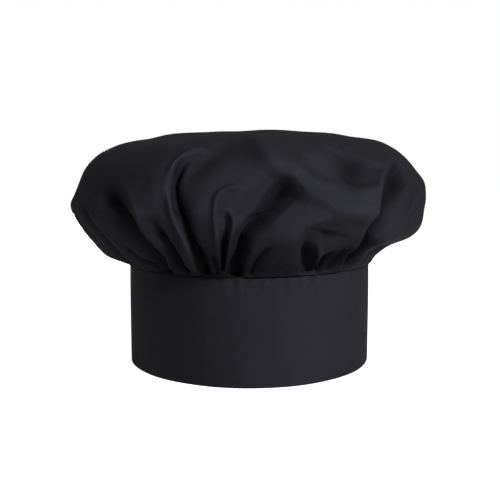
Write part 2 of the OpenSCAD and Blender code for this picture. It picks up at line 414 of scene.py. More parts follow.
# Folds that show on the crown's front and sides, from low azimuth to high
FOLDS = (
    # round to the low side
    fold(((-104, 0.08), (-102, 0.20), (-106, 0.34)), -3.6, 4, 6),
    fold(((-88, 0.06), (-86, 0.14), (-89, 0.22)), -3.2, 4, 5),
    fold(((-72, 0.06), (-71, 0.16), (-76, 0.27), (-84, 0.36)), -3.4, 6, 4),
    fold(((-61, 0.05), (-59, 0.15), (-63, 0.24), (-69, 0.31)), -2.8, 6, 3),
    fold(((-50, 0.06), (-50, 0.16), (-52, 0.22), (-58, 0.31)), -4.0, 8, 3, crest=1.5),
    fold(((-40, 0.05), (-41, 0.11), (-44, 0.17)), -3.0, 3, 4),
    # long soft edge with a hollow beyond it, and a narrow dark valley
    fold(((-35, 0.03), (-31, 0.12), (-33, 0.20), (-35, 0.25), (-38, 0.30), (-44, 0.345), (-52, 0.355)),
         -9.5, 13, 3.6, crest=4),
    fold(((-32, 0.03), (-26.7, 0.135), (-28.7, 0.203), (-30.3, 0.238), (-32, 0.289), (-37, 0.359),
         (-44, 0.40)), 3.4, 2.6, 11, crest=0.8),
    fold(((-25.2, 0.04), (-23.8, 0.12), (-23.9, 0.18), (-24.6, 0.21), (-26.3, 0.26)), -9.5, 4.5, 2.0,
         crest=1.2),
    # thin curled ridge left of the centre, with the deep valley behind it
    fold(((-19.6, 0.04), (-18.4, 0.10), (-18.2, 0.15), (-18.7, 0.21)), 2.0, 2.2, 1.6),
    fold(((-19.6, 0.04), (-18.3, 0.14), (-18.7, 0.21), (-20, 0.27), (-21.3, 0.31), (-22.7, 0.36),
         (-23.6, 0.40), (-23.3, 0.44), (-21.3, 0.475), (-18.3, 0.503), (-13, 0.53)), 4.6, 2.0, 1.2,
         lean=1.6, crest=0.7),
    fold(((-26, 0.30), (-27.5, 0.36), (-28.5, 0.42), (-26, 0.49), (-20, 0.54)), 1.0, 9, 6, crest=6),
    fold(((-17.8, 0.04), (-16.8, 0.13), (-17.3, 0.21), (-18.8, 0.28), (-20.5, 0.325), (-22.1, 0.36),
         (-23, 0.395), (-22.5, 0.43), (-20.4, 0.467)), -13.0, 1.6, 5.5, crest=1.2),
    fold(((-17.5, 0.30), (-18.3, 0.36), (-17.6, 0.41), (-15, 0.46), (-12, 0.52), (-8, 0.60)), -5.0, 4,
         10, crest=6),
    fold(((-12.4, 0.03), (-11.5, 0.10), (-10.9, 0.15)), -4.5, 1.6, 1.6),
    # small loop at the centre
    fold(((-11.2, 0.03), (-9.6, 0.11), (-8.8, 0.19), (-9, 0.28), (-8.8, 0.335), (-7.6, 0.36),
         (-5, 0.372), (-1.5, 0.366)), 3.6, 2.4, 1.1, lean=0.6, crest=0.5),
    fold(((-7.6, 0.30), (-7.4, 0.345)), 1.8, 3, 3, crest=2),
    fold(((-9.8, 0.06), (-7.8, 0.15), (-7, 0.20), (-6.4, 0.245), (-6.2, 0.285)), -10.0, 1.3, 1.3,
         crest=0.8),
    fold(((-9.1, 0.05), (-7.4, 0.12), (-6.1, 0.18), (-4.8, 0.238), (-4.1, 0.274), (-4.6, 0.30),
         (-6.2, 0.312)), 4.0, 1.1, 2.2, crest=0.5),
    # long dark valley, and small gathers at its foot
    fold(((-5, 0.03), (-3.6, 0.13), (-2.4, 0.195), (-0.5, 0.238), (2, 0.273), (4.3, 0.31), (6.4, 0.343),
         (9, 0.375), (12.5, 0.405)), -18.0, 3.0, 4.6, crest=2.6),
    fold(((-1, 0.22), (2, 0.262), (6.5, 0.31), (11, 0.348), (16, 0.36)), -6.0, 8, 5, crest=5),
    fold(((-7.2, 0.03), (-5.8, 0.114)), -5.0, 1.2, 1.2),
    fold(((-5.4, 0.03), (-4.3, 0.125), (-3.6, 0.17)), 3.0, 1.1, 1.1),
    fold(((-2.4, 0.03), (0.3, 0.155), (2, 0.20)), 3.4, 1.8, 2.2),
    fold(((0.7, 0.03), (4, 0.14), (7, 0.19)), -5.0, 1.8, 3),
    # broad diagonal roll over the right of the front, and the hollow above it
    fold(((42, 0.29), (33, 0.298), (27.3, 0.307), (24.3, 0.32), (20.7, 0.343), (17, 0.36), (14, 0.38),
         (10.7, 0.408), (7.7, 0.44), (5.3, 0.48), (3.2, 0.54), (1, 0.61)), 14.0, 5, 9, crest=6),
    fold(((30.6, 0.325), (31, 0.365), (32.3, 0.41), (34.6, 0.45), (38, 0.50)), -13.0, 7, 15, crest=7),
    # long ridge on the right with a crisp edge, and the deep valley behind it
    fold(((41, 0.01), (36, 0.09), (33.5, 0.147), (32.6, 0.224), (33.8, 0.266), (35.8, 0.306),
         (38.6, 0.35), (44.3, 0.405), (52, 0.44), (60, 0.452), (67, 0.44)), 5.0, 6, 1.8, lean=1.0,
         crest=1.2),
    fold(((44, 0.04), (39.5, 0.11), (37.6, 0.18), (38.2, 0.23), (40.2, 0.28), (43.8, 0.328),
         (49.2, 0.37), (54, 0.402), (60, 0.43)), -36.0, 3.6, 4.4, lean=2.0, crest=2.4),
    fold(((53, 0.19), (51.7, 0.242), (56.3, 0.283), (62.3, 0.316), (67, 0.35)), 3.0, 2.5, 1.2),
    fold(((55.6, 0.19), (55.7, 0.226), (59.3, 0.261), (64, 0.29), (69, 0.32)), -5.0, 2, 4, crest=1),
    # arched hollow low on the right
    fold(((13.2, 0.16), (13.6, 0.215), (14.7, 0.25), (16.7, 0.27), (19, 0.279), (23, 0.278),
         (26, 0.265), (28.5, 0.24), (30, 0.20)), 2.4, 5, 5, crest=2.5),
    fold(((22, 0.14), (22, 0.20), (23, 0.245)), -6.0, 9, 10, crest=5),
    fold(((26, 0.03), (21, 0.09), (17.8, 0.15), (16.6, 0.21), (17.5, 0.245)), -8.0, 3.0, 5.0,
         crest=2.0),
    fold(((26.8, 0.03), (24.3, 0.095), (21.5, 0.17), (20.8, 0.21)), 5.5, 2, 2, crest=0.8),
    fold(((30.3, 0.03), (29.2, 0.07), (28.6, 0.10), (29, 0.13)), -10.0, 3, 4.5, crest=1.2),
    fold(((34, 0.03), (33, 0.10), (31.5, 0.17)), -3.0, 3, 3),
    # round to the high side
    fold(((48, 0.03), (52, 0.08), (60, 0.11)), -4.0, 3, 4),
    fold(((70, 0.05), (74, 0.12), (80, 0.19), (88, 0.23)), -6.5, 5, 6),
    fold(((68, 0.20), (72, 0.28), (76, 0.38)), -2.4, 5, 4),
    fold(((86, 0.06), (92, 0.14), (99, 0.20)), -6.0, 6, 5),
    fold(((92, 0.24), (97, 0.33), (100, 0.42)), -2.6, 5, 6),
    fold(((106, 0.06), (108, 0.16), (112, 0.28), (113, 0.36)), -5.0, 4, 6),
)


def gathered_folds(seed, start, end, spacing):
    """Folds for a stretch of the seam: valleys and ridges in turn, that lean, wander and end at
    different heights. Azimuths are in degrees."""
    rng = np.random.default_rng(seed)
    folds = []
    azimuth = start
    valley = True
    while azimuth < end:
        height = rng.choice([0.14, 0.22, 0.34, 0.44], p=[0.3, 0.3, 0.25, 0.15])
        height *= rng.uniform(0.85, 1.15)
        lean = rng.normal(0, 9) * height / 0.4
        bend = rng.normal(0, 3)
        path = tuple((azimuth + lean * t ** 1.5 + bend * math.sin(math.pi * t), 0.05 + height * t)
                     for t in (0, 0.3, 0.6, 1.0))
        size = (3 + 26 * height) * rng.uniform(0.8, 1.25)
        wide = rng.uniform(3.0, 6.0) * (0.6 + 1.2 * height)
        narrow = wide * rng.uniform(0.35, 0.8)
        sides = (wide, narrow) if rng.random() < 0.5 else (narrow, wide)
        folds.append(fold(path, -size, *sides, crest=0.9) if valley
                     else fold(path, 0.25 * size, *sides, crest=4))
        valley = not valley
        azimuth += spacing * rng.uniform(0.7, 1.35)
    return tuple(folds)


# The front and the sides as above, and the back, which is anyone's guess
ALL_FOLDS = FOLDS + gathered_folds(seed=11, start=118, end=250, spacing=7)
SPREAD_SHARE = 0.62             # scales the spread that each fold gives
FADE_FROM = 0.72                # share of its length from which a fold dies away
LEAST_R = 0.02                  # stands in for the radius near the crown's centre
DEEPEST = 17 * MM               # how far in a valley may go
PROUD_SIDE = 4 * MM             # how far out a ridge may stand on the hat's left and right
PROUD_FRONT = 8.5 * MM          # how far out it may stand at the front and the back
KEPT_AT_SEAM = 0.03             # share of a fold's height that it keeps right at the seam
NEARBY = (-0.016, -0.008, 0.008, 0.016)     # steps up the cloth, narrower than a fold


def nearest_on_line(line, turn, up, round_m):
    """For each point: its distance from a fold's line in metres, its side of it, from -1 for the
    lower azimuth to 1, and how far along the line it is, from 0 to 1."""
    best = np.full(turn.shape, 1e9)
    side = np.zeros(turn.shape)
    along = np.zeros(turn.shape)
    for i, ((a0, u0), (a1, u1)) in enumerate(zip(line, line[1:])):
        x, y = (turn - a0) * round_m, (up - u0) * SEAM_TO_CENTRE
        dx, dy = (a1 - a0) * round_m, (u1 - u0) * SEAM_TO_CENTRE
        t = np.clip((x * dx + y * dy) / (dx * dx + dy * dy), 0, 1)
        ex, ey = x - t * dx, y - t * dy
        distance = np.hypot(ex, ey)
        closer = distance < best
        best = np.where(closer, distance, best)
        across = (ex * dy - ey * dx) / (np.hypot(dx, dy) * np.maximum(distance, 1e-9))
        side = np.where(closer, across, side)
        along = np.where(closer, (i + t) / (len(line) - 1), along)
    return best, side, along


def fold_relief(azimuth, up, radius):
    """How far the folds push each point out along its normal, and how far they pull it round
    towards higher azimuth, in metres."""
    relief = np.zeros(azimuth.shape)
    pulled = np.zeros(azimuth.shape)
    for path, rise, low, high, lean, crest in ALL_FOLDS:
        line = curve_through(path, 5 * len(path))
        middle = line[:, 0].mean()
        turn = (azimuth - middle + 180) % 360 - 180 + middle
        reach = 5 * max(low, high) * MM         # the fold is too faint to matter beyond it
        margin = np.array([np.degrees(reach / SEAM_R), reach / SEAM_TO_CENTRE])
        (turn_low, up_low), (turn_high, up_high) = line.min(0) - margin, line.max(0) + margin
        near = (up > up_low) & (up < up_high) & (turn > turn_low) & (turn < turn_high)
        if not near.any():
            continue
        distance, side, along = nearest_on_line(line, turn[near], up[near],
                                                np.radians(1) * radius[near])
        rounded = np.hypot(distance, crest * MM) - crest * MM
        spread = (low + (high - low) * (0.5 + 0.5 * side)) * MM * SPREAD_SHARE
        shape = np.exp(-rounded / (spread * (0.75 + 0.5 * along)))
        shape *= 1 - 0.75 * smoothstep(FADE_FROM, 1.0, along)
        starts_on_cloth = path[0][1] > 0.1
        if starts_on_cloth:
            shape *= 0.1 + 0.9 * smoothstep(0, 0.25, along)
        relief[near] += rise * MM * shape
        pulled[near] += lean * MM * shape
    return relief, pulled


def cloth_waviness(flat, scale, seed, waves=40):
    """A random smooth field over the flat cloth, about -1 to 1, with features of a given size."""
    rng = np.random.default_rng(seed)
    field = np.zeros(len(flat))
    for _ in range(waves):
        direction = rng.uniform(0, 2 * math.pi)
        turns = 2 * math.pi / (scale * rng.uniform(0.7, 1.6))
        phase = rng.uniform(0, 2 * math.pi)
        field += np.sin(turns * (flat[:, 0] * math.cos(direction)
                                 + flat[:, 1] * math.sin(direction)) + phase)
    return field / math.sqrt(waves)


def small_waves(azimuth, up, flat):
    """The cloth's slight unevenness, and the finest gathers next to the seam, which are longer
    up the cloth than they are wide."""
    broad = 0.8 * MM * cloth_waviness(flat, scale=0.075, seed=5)
    fine = 0.3 * MM * cloth_waviness(flat, scale=0.028, seed=6)
    round_seam_and_up = np.stack([azimuth * 0.0017, up * 0.02], 1)
    gathers = 0.5 * MM * cloth_waviness(round_seam_and_up, scale=0.006, seed=7)
    return ((broad + fine) * smoothstep(0.0, 0.1, up)
            + gathers * (1 - smoothstep(0.02, 0.12, up)))


def limited(relief, azimuth):
    """Eases the folds to a greatest height and depth."""
    proud = PROUD_SIDE + (PROUD_FRONT - PROUD_SIDE) * np.cos(np.radians(azimuth)) ** 2
    limit = np.where(relief > 0, proud, DEEPEST)
    return limit * np.tanh(relief / limit)


def crown_normal(azimuth, up):
    """The way out of the crown without its folds: its shares outward and upward. It is level
    next to the seam, so that folds there don't reach down over the band."""
    step = 0.006                # to either side of the place, as a share of the way up
    r_low, z_low = crown_outline(azimuth, np.clip(up - step, 0, 1))
    r_high, z_high = crown_outline(azimuth, np.clip(up + step, 0, 1))
    slope = np.hypot(r_high - r_low, z_high - z_low) + 1e-9
    out, rise = (z_high - z_low) / slope, (r_low - r_high) / slope
    level = 1 - smoothstep(0.02, 0.09, up)
    return out + (1 - out) * level, rise * (1 - level)


def crown_points(azimuth, up, inset):
    """Points on the crown's cloth and the relief of its folds there. An up below 0 is on the seam
    allowance, inside the band. The inner face is inset, and takes the deepest relief nearby, so
    that it stays behind the outer one in narrow valleys."""
    on_crown = np.clip(up, 0, 1)
    radius, height = crown_outline(azimuth, on_crown)
    out, rise = crown_normal(azimuth, on_crown)
    round_at = np.maximum(radius, LEAST_R)
    relief, pulled = fold_relief(azimuth, on_crown, round_at)
    for step in NEARBY if inset else ():
        other, _ = fold_relief(azimuth, np.maximum(on_crown + step, 0), round_at)
        relief = np.minimum(relief, other)
    waves = small_waves(azimuth, on_crown, flat_cloth(azimuth, up))
    from_seam = KEPT_AT_SEAM + (1 - KEPT_AT_SEAM) * smoothstep(0.0, 0.04, on_crown)
    relief = limited(relief + waves, azimuth) * from_seam
    skirt = up < 0
    r = np.where(skirt, SEAM_R - 0.6 * inset, radius + (relief - inset) * out)
    z = np.where(skirt, BAND_TOP + up * SEAM_TO_CENTRE, height + (relief - inset) * rise)
    round_by = np.degrees(pulled * from_seam / np.maximum(r, LEAST_R))
    return on_ring(azimuth + FRONT + round_by, r, z), relief


def flat_cloth(azimuth, up):
    """Where a point of the crown lies on its flat disc, in metres from the disc's centre."""
    reach = SEAM_TO_CENTRE * (1 - up)
    return np.stack([reach * np.cos(np.radians(azimuth)), reach * np.sin(np.radians(azimuth))], 1)


# Azimuths of the cloth's columns, closer together at the front, where the narrow folds are
COLUMN_AZIMUTHS = np.r_[np.linspace(-180, -68, 120, endpoint=False),
                        np.linspace(-68, 72, 370, endpoint=False),
                        np.linspace(72, 180, 116, endpoint=False)]
CROWN_COLUMNS = len(COLUMN_AZIMUTHS)
# Shares of the way up of the cloth's rows, closest together at the seam
ALLOWANCE_ROWS = np.linspace(-ALLOWANCE / SEAM_TO_CENTRE, -0.01, 2)
OUTER_ROWS = np.r_[ALLOWANCE_ROWS, np.linspace(0, 0.024, 9), np.linspace(0.03, 0.56, 102),
                   np.linspace(0.575, 0.985, 16)]
INNER_ROWS = np.r_[ALLOWANCE_ROWS, np.linspace(0, 0.024, 5), np.linspace(0.04, 0.56, 18),
                   np.linspace(0.60, 0.985, 6)]


def relaxed(points, rows, times=2):
    """The cloth's points with their steps over narrow folds smoothed, and kept as they are at
    the seam."""
    grid = points[:-1].reshape(CROWN_COLUMNS, len(rows), 3)
    share = smoothstep(0.0, 0.03, rows[1:-1])[:, None]
    for _ in range(times):
        beside = (np.roll(grid, 1, 0) + np.roll(grid, -1, 0))[:, 1:-1]
        mean = (beside + grid[:, 2:] + grid[:, :-2]) / 4
        middle = grid[:, 1:-1]
        grid = np.concatenate([grid[:, :1], middle + 0.5 * share * (mean - middle),
                               grid[:, -1:]], 1)
    return np.vstack([grid.reshape(-1, 3), points[-1:]])


def crown_face(rows, inset):
    """One face of the crown's cloth: its points, their relief, the flat points and the faces."""
    azimuth, up = np.meshgrid(COLUMN_AZIMUTHS, rows, indexing="ij")
    azimuth, up = np.append(azimuth.ravel(), 0.0), np.append(up.ravel(), 1.0)
    count = len(rows)
    faces = grid_faces(CROWN_COLUMNS, count, closed=True)
    centre = CROWN_COLUMNS * count
    faces += [(i * count + count - 1, (i + 1) % CROWN_COLUMNS * count + count - 1, centre)
              for i in range(CROWN_COLUMNS)]
    points, relief = crown_points(azimuth, up, inset)
    return relaxed(points, rows), relief, flat_cloth(azimuth, up), faces


def make_crown():
    """The crown as one closed cloth: its outer face, its inner face and the raw edge between."""
    points, relief, flat, faces = crown_face(OUTER_ROWS, 0.0)
    inner_points, inner_relief, inner_flat, inner_faces = crown_face(INNER_ROWS, CROWN_PLY)
    first = len(points)
    faces += [tuple(first + i for i in reversed(face)) for face in inner_faces]
    outer_count, inner_count = len(OUTER_ROWS), len(INNER_ROWS)
    for i in range(CROWN_COLUMNS):
        j = (i + 1) % CROWN_COLUMNS
        faces.append((j * outer_count, i * outer_count,
                      first + i * inner_count, first + j * inner_count))
    cloth = new_object("crown_cloth", np.vstack([points, inner_points]), faces,
                       uv=np.vstack([flat, inner_flat]), material=twill)
    folded = cloth.data.attributes.new("fold", "FLOAT", "POINT")
    folded.data.foreach_set("value", np.r_[relief, inner_relief] / (10 * MM))
    return cloth


crown = make_crown()
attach(crown, "hat")
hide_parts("crown")


# ---- band

def band_section(rows_outside=44, rows_inside=24):
    """The folded strip's middle line from the outer wall's top, round the fold, to the inner
    wall's top: radius, height and distance along the cloth."""
    outer = BAND_OUT - PLY / 2
    inner = BAND_IN + PLY / 2
    bend = (outer - inner) / 2
    middle = (outer + inner) / 2
    line = [(outer, z) for z in np.linspace(BAND_TOP, bend + PLY / 2, rows_outside)]
    line += [(middle + bend * math.cos(a), bend + PLY / 2 - bend * math.sin(a))
             for a in np.linspace(0, math.pi, 9)[1:-1]]
    line += [(inner, z) for z in np.linspace(bend + PLY / 2, BAND_TOP, rows_inside)]
    return np.array(line), run_along(line)


# Puckers that the gathered seam presses into the band: azimuth, depth in mm, which is below 0
# for a swelling, and length in mm
BAND_PUCKERS = (
    (-14, 0.4, 7), (-10.5, -0.6, 9), (-7, 0.5, 9), (-4, -1.0, 12), (-1, 0.5, 8), (4, 0.6, 10),
    (7, -0.7, 7), (9.5, 0.5, 7), (12, -0.9, 8), (15, 0.6, 11), (18, -0.8, 9), (21, 0.7, 12),
    (24, -0.9, 9), (27, 0.6, 10), (30, -0.7, 8), (33, 0.5, 8), (36, -0.8, 7), (-40, 0.3, 6),
    (52, 0.4, 8), (70, 0.4, 8), (96, 0.3, 8), (133, 0.35, 9), (-95, 0.3, 8), (-120, 0.35, 9),
    (-66, 0.3, 6))


BAND_GAP = 0.4                  # degrees between the band's two ends, under the tab


def band_relief(azimuth, below_seam):
    """How far the band's outer wall stands off a plain cylinder: a top edge that rolls in, puckers
    under the seam and a slight wave, which both fade out at the closure."""
    below = below_seam / MM
    dent = np.zeros(np.broadcast(azimuth, below).shape)
    for centre, depth, length in BAND_PUCKERS:
        offset = (azimuth - centre) * np.radians(1) * BAND_OUT / MM
        spread = 1.7 + 0.18 * below
        dent -= depth * np.exp(-(offset / spread) ** 2) * np.exp(-(below / length) ** 2)
    wave = (0.25 * np.sin(np.radians(azimuth) * 5 + 1)
            + 0.18 * np.sin(np.radians(azimuth) * 11 - below / 30))
    plain = 1 - smoothstep(118, 132, np.abs(azimuth))
    rolled_in = -0.5 * (1 - smoothstep(0, 1.6, below))
    return (rolled_in + 0.8 * plain * (dent + wave * smoothstep(0, 20, below))) * MM


def make_band():
    line, run = band_section()
    angles = ROOT_ANGLE + np.linspace(0, 360 - BAND_GAP, 480)
    azimuth = (angles - FRONT + 180) % 360 - 180
    a, k = np.meshgrid(azimuth, np.arange(len(line)), indexing="ij")
    r = line[k, 0]
    z = line[k, 1]
    outside = r > (BAND_OUT + BAND_IN) / 2
    r = r + np.where(outside, band_relief(a, BAND_TOP - z), 0)
    flat = np.radians(angles)[:, None] * BAND_OUT, run[k]
    return grid_sheet("band_cloth", on_ring(a + FRONT, r, z), flat, twill, PLY)


band = make_band()
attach(band, "hat")
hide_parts("band_shell")


# ---- stitching

STITCH = 2.7 * MM
STITCH_GAP = 0.4 * MM
THREAD_R = 0.16 * MM


def radial(points):
    """Unit vectors that point away from the hat's axis."""
    flat = points * (1, 1, 0)
    return flat / np.linalg.norm(flat, axis=-1, keepdims=True)


def thread_tubes(name, lines, radius, material, sides=6, taper=0.45):
    """One object of separate round threads. lines holds one row of points for each thread."""
    lines = np.asarray(lines, float)
    count, steps = lines.shape[:2]
    tangent = np.gradient(lines, axis=1)
    tangent /= np.linalg.norm(tangent, axis=-1, keepdims=True)
    side = np.cross(tangent, radial(lines) + (0, 0, 0.01))
    side /= np.linalg.norm(side, axis=-1, keepdims=True)
    rise = np.cross(side, tangent)
    turn = np.linspace(0, 2 * math.pi, sides, endpoint=False)
    ring = (side[:, :, None] * np.cos(turn)[:, None] + rise[:, :, None] * np.sin(turn)[:, None])
    width = radius * np.r_[taper, np.ones(steps - 2), taper]
    points = lines[:, :, None] + ring * width[:, None, None]
    one = [(i * sides + k, i * sides + (k + 1) % sides,
            (i + 1) * sides + (k + 1) % sides, (i + 1) * sides + k)
           for i in range(steps - 1) for k in range(sides)]
    one += [tuple(reversed(range(sides))), tuple(range((steps - 1) * sides, steps * sides))]
    faces = [tuple(n * steps * sides + v for v in face) for n in range(count) for face in one]
    return new_object(name, points.reshape(-1, 3), faces, material=material)


def even_points(corners, step):
    """Points at about even steps along straight lines between corners, in two dimensions."""
    corners = np.asarray(corners, float)
    run = run_along(corners)
    at = np.linspace(0, run[-1], max(2, int(round(run[-1] / step)) + 1))
    return np.stack([np.interp(at, run, corners[:, i]) for i in range(corners.shape[1])], 1)


def stitch_lines(path, pitch=STITCH + STITCH_GAP, share=STITCH / (STITCH + STITCH_GAP)):
    """Stitches along a path of points on the cloth. Each one dips into the cloth at its ends."""
    run = run_along(path)
    count = max(1, int(round(run[-1] / pitch)))
    t = np.linspace(0, 1, 6)
    at = (np.arange(count)[:, None] + 0.5 * (1 - share) + share * t) * run[-1] / count
    lines = np.stack([np.interp(at, run, path[:, i]) for i in range(3)], -1)
    lift = (-0.20 + 0.27 * np.sin(np.pi * t)) * MM
    return lines + radial(lines) * lift[:, None]


def sew(name, body, lines, stands_for, radius=THREAD_R):
    """Thread that stands for a CAD node of stitching."""
    stitches = thread_tubes(name, lines, radius, thread)
    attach(stitches, body)
    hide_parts(stands_for)


def rectangle(low, high):
    """Corners of a closed rectangle from two opposite ones."""
    (x0, y0), (x1, y1) = low, high
    return [(x0, y0), (x1, y0), (x1, y1), (x0, y1), (x0, y0)]


def ring_path(angle_and_height, radius):
    """A path on a cylinder. The first column is an arc length at that radius from angle 0."""
    arc, z = angle_and_height[:, 0], angle_and_height[:, 1]
    return on_ring(np.degrees(arc / radius), radius, z)


def sew_band_edge():
    low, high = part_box("band_edge_stitching")
    z = (low[2] + high[2]) / 2
    azimuth = np.linspace(-180, 180, 1441)
    path = on_ring(azimuth + FRONT, BAND_OUT + band_relief(azimuth, BAND_TOP - z), z)
    sew("band_edge_stitches", "hat", stitch_lines(path), "band_edge_stitching")


def sew_gathers():
    """Two rows of running stitches on the seam allowance, between the band's walls."""
    low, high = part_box("gathering_threads")
    angle = np.linspace(0, 360, 1441)
    rows = [stitch_lines(on_ring(angle, SEAM_R + 0.05 * MM, z), pitch=4 * MM)
            for z in (low[2] + 0.2 * MM, high[2] - 0.2 * MM)]
    sew("gathering_stitches", "hat", np.vstack(rows), "gathering_threads", radius=0.12 * MM)


def sew_overlock():
    """Thread looped round the crown's raw edge, from one face to the other and back."""
    low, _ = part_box("crown_edge_overlock")
    edge = low[2]
    count = 260
    angle = np.arange(count) * 360 / count
    step = 360 / count
    turns = [on_ring(angle + share * step, SEAM_R + out * MM, edge + up * MM)
             for share, out, up in ((0, 0.08, 3.6), (0.1, 0.08, 0.8), (0.3, -0.24, 0.2),
                                    (0.5, -0.48, 0.8), (0.9, -0.48, 3.0))]
    sew("overlock_stitches", "hat", np.stack(turns, 1), "crown_edge_overlock", radius=0.1 * MM)


sew_band_edge()
sew_gathers()
sew_overlock()


# ---- closure: tapes and stitching

def tape_span(node, radius):
    """Lowest and highest angle of a curved tape at the back, from its node's box."""
    low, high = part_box(node)
    return math.degrees(math.acos(high[0] / radius)), math.degrees(math.acos(low[0] / radius))


def curved_panel(name, angles, heights, radius, thickness, material, step=1.5 * MM):
    """A thin panel bent round the hat. The radius is at the middle of its thickness."""
    columns = max(2, int(math.radians(angles[1] - angles[0]) * radius / step))
    rows = max(2, int((heights[1] - heights[0]) / step))
    a, z = np.meshgrid(np.linspace(*angles, columns), np.linspace(*heights, rows), indexing="ij")
    flat = np.radians(a) * radius, z
    return grid_sheet(name, on_ring(a, radius, z), flat, material, thickness)


def pile_field(angles, heights, radius, pitch, seed):
    """Feet of a tape's loops or hooks: arc length and height, in staggered rows with some play."""
    rng = np.random.default_rng(seed)
    arcs = np.arange(*np.radians(angles) * radius, pitch)
    ups = np.arange(heights[0], heights[1], pitch)
    arc, up = np.meshgrid(arcs, ups, indexing="ij")
    arc = arc + pitch / 2 * (np.arange(len(ups)) % 2) + rng.uniform(-0.2, 0.2, arc.shape) * pitch
    up = up + rng.uniform(-0.15, 0.15, up.shape) * pitch
    return arc.ravel(), up.ravel(), rng


def loop_pile(name, angles, heights, radius):
    """Soft loops of the pile, lying every way."""
    arc, up, rng = pile_field(angles, heights, radius, pitch=1.15 * MM, seed=31)
    way = rng.uniform(0, 2 * math.pi, len(arc))
    reach = rng.uniform(0.9, 1.5, len(arc)) * MM
    tall = rng.uniform(0.40, 0.56, len(arc)) * MM
    t = np.linspace(0, 1, 6)
    across = arc[:, None] + (reach * np.cos(way))[:, None] * (t - 0.5)
    along = up[:, None] + (reach * np.sin(way))[:, None] * (t - 0.5)
    height = tall[:, None] * np.sin(np.pi * t) ** 0.6
    lines = on_ring(np.degrees(across / radius), radius + height, along)
    return thread_tubes(name, lines, 0.07 * MM, pile, sides=4, taper=0.8)


def hook_pile(name, angles, heights, radius):
    """Stiff hooks that point in at the loops, row by row in turned directions."""
    arc, up, rng = pile_field(angles, heights, radius, pitch=1.25 * MM, seed=32)
    way = np.where(np.arange(len(arc)) % 2 == 0, 1, -1) * rng.uniform(0.8, 1.1, len(arc))
    shape = np.array([(0, 0), (0, 0.22), (0.03, 0.36), (0.13, 0.43), (0.24, 0.38), (0.28, 0.26)])
    along = up[:, None] + way[:, None] * shape[:, 0] * MM
    lines = on_ring(np.degrees(arc / radius)[:, None] + 0 * along, radius - shape[:, 1] * MM, along)
    return thread_tubes(name, lines, 0.075 * MM, hook_plastic, sides=5, taper=0.7)


def make_tape(node, body, kind, base_radius, pile_radius):
    """One tape: a woven base with its selvages, and the pile that stands on it."""
    low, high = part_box(node)
    span = tape_span(node, base_radius + TAPE_BASE / 2)
    heights = (low[2], high[2])
    base = curved_panel(node + "_base", span, heights, base_radius, TAPE_BASE, tape_weave)
    selvage = 2 * MM
    margin = math.degrees(selvage / base_radius)
    field = (span[0] + margin, span[1] - margin), (heights[0] + selvage, heights[1] - selvage)
    make_pile = loop_pile if kind == "loop" else hook_pile
    pile_piece = make_pile(node + "_pile", *field, pile_radius)
    for piece in (base, pile_piece):
        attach(piece, body)
    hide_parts(node)
    return span, heights


TAPE_INSET = 1.05 * MM


def sew_frames(name, body, spans, radius, stands_for):
    """A rectangle of stitching just inside each tape's edge."""
    rows = []
    for (a0, a1), (z0, z1) in spans:
        inset = math.degrees(TAPE_INSET / radius)
        corners = rectangle((math.radians(a0 + inset) * radius, z0 + TAPE_INSET),
                            (math.radians(a1 - inset) * radius, z1 - TAPE_INSET))
        rows.append(stitch_lines(ring_path(even_points(corners, 0.5 * MM), radius)))
    sew(name, body, np.vstack(rows), stands_for)


def make_tapes():
    loops = [make_tape(node, "hat", "loop", BAND_OUT + TAPE_BASE / 2, BAND_OUT + TAPE_BASE) for node in ("loop_tape_upper", "loop_tape_lower")]
    sew_frames("loop_tape_stitches", "hat", loops, BAND_OUT + TAPE_BASE, "loop_tape_stitching")
    hooks = [make_tape(node, "closure_tab", "hook", TAB_IN - TAPE_BASE / 2, TAB_IN - TAPE_BASE) for node in ("hook_tape_upper", "hook_tape_lower")]
    sew_frames("hook_tape_stitches", "closure_tab", hooks, TAB_OUT, "hook_tape_stitching")


def sew_root():
    """The two upright rows that close the band's end, and their bartacks."""
    low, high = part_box("tab_root_stitching")
    near, far = (math.degrees(math.acos(x / (BAND_OUT + 0.1 * MM))) for x in (high[0], low[0]))
    heights = np.linspace(low[2], high[2], 140)
    rows = [stitch_lines(on_ring(angle, BAND_OUT, heights)) for angle in (near, far)]
    sew("tab_root_stitches", "hat", np.vstack(rows), "tab_root_stitching")

    low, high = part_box("tab_bartacks")
    tall = 2 * MM
    bars = []
    for z in (low[2], high[2] - tall):
        for angle in np.linspace(near - 0.4, far + 0.4, 17):
            turn = math.degrees(0.18 * MM / BAND_OUT)
            bars.append(on_ring(np.linspace(angle - turn, angle + turn, 6),
                                BAND_OUT + 0.2 * MM * np.sin(np.linspace(0, math.pi, 6)),
                                np.linspace(z, z + tall, 6)))
    sew("tab_bartack_stitches", "hat", bars, "tab_bartacks")


# ---- closure: tab

RAMP = 9.5 * MM                 # how far before its root the tab's cloth rises from the band
TAB_EDGE = TAB_THICK / 2
TAB_PLY = 0.5 * MM


def tab_place(along, up, through):
    """Points of the tab: along it from its root, up from its middle line, and the share of the
    way through it from its inner to its outer face."""
    risen = smoothstep(-RAMP, -0.5 * MM, along)
    outer = (BAND_OUT - 0.15 * MM) * (1 - risen) + TAB_OUT * risen
    apart = smoothstep(-3.5 * MM, 0, along)
    inner = (BAND_OUT - PLY) * (1 - apart) + TAB_IN * apart
    return on_ring(ROOT_ANGLE - np.degrees(along / TAB_R),
                   inner + through * (outer - inner), TAB_MIDDLE + up)


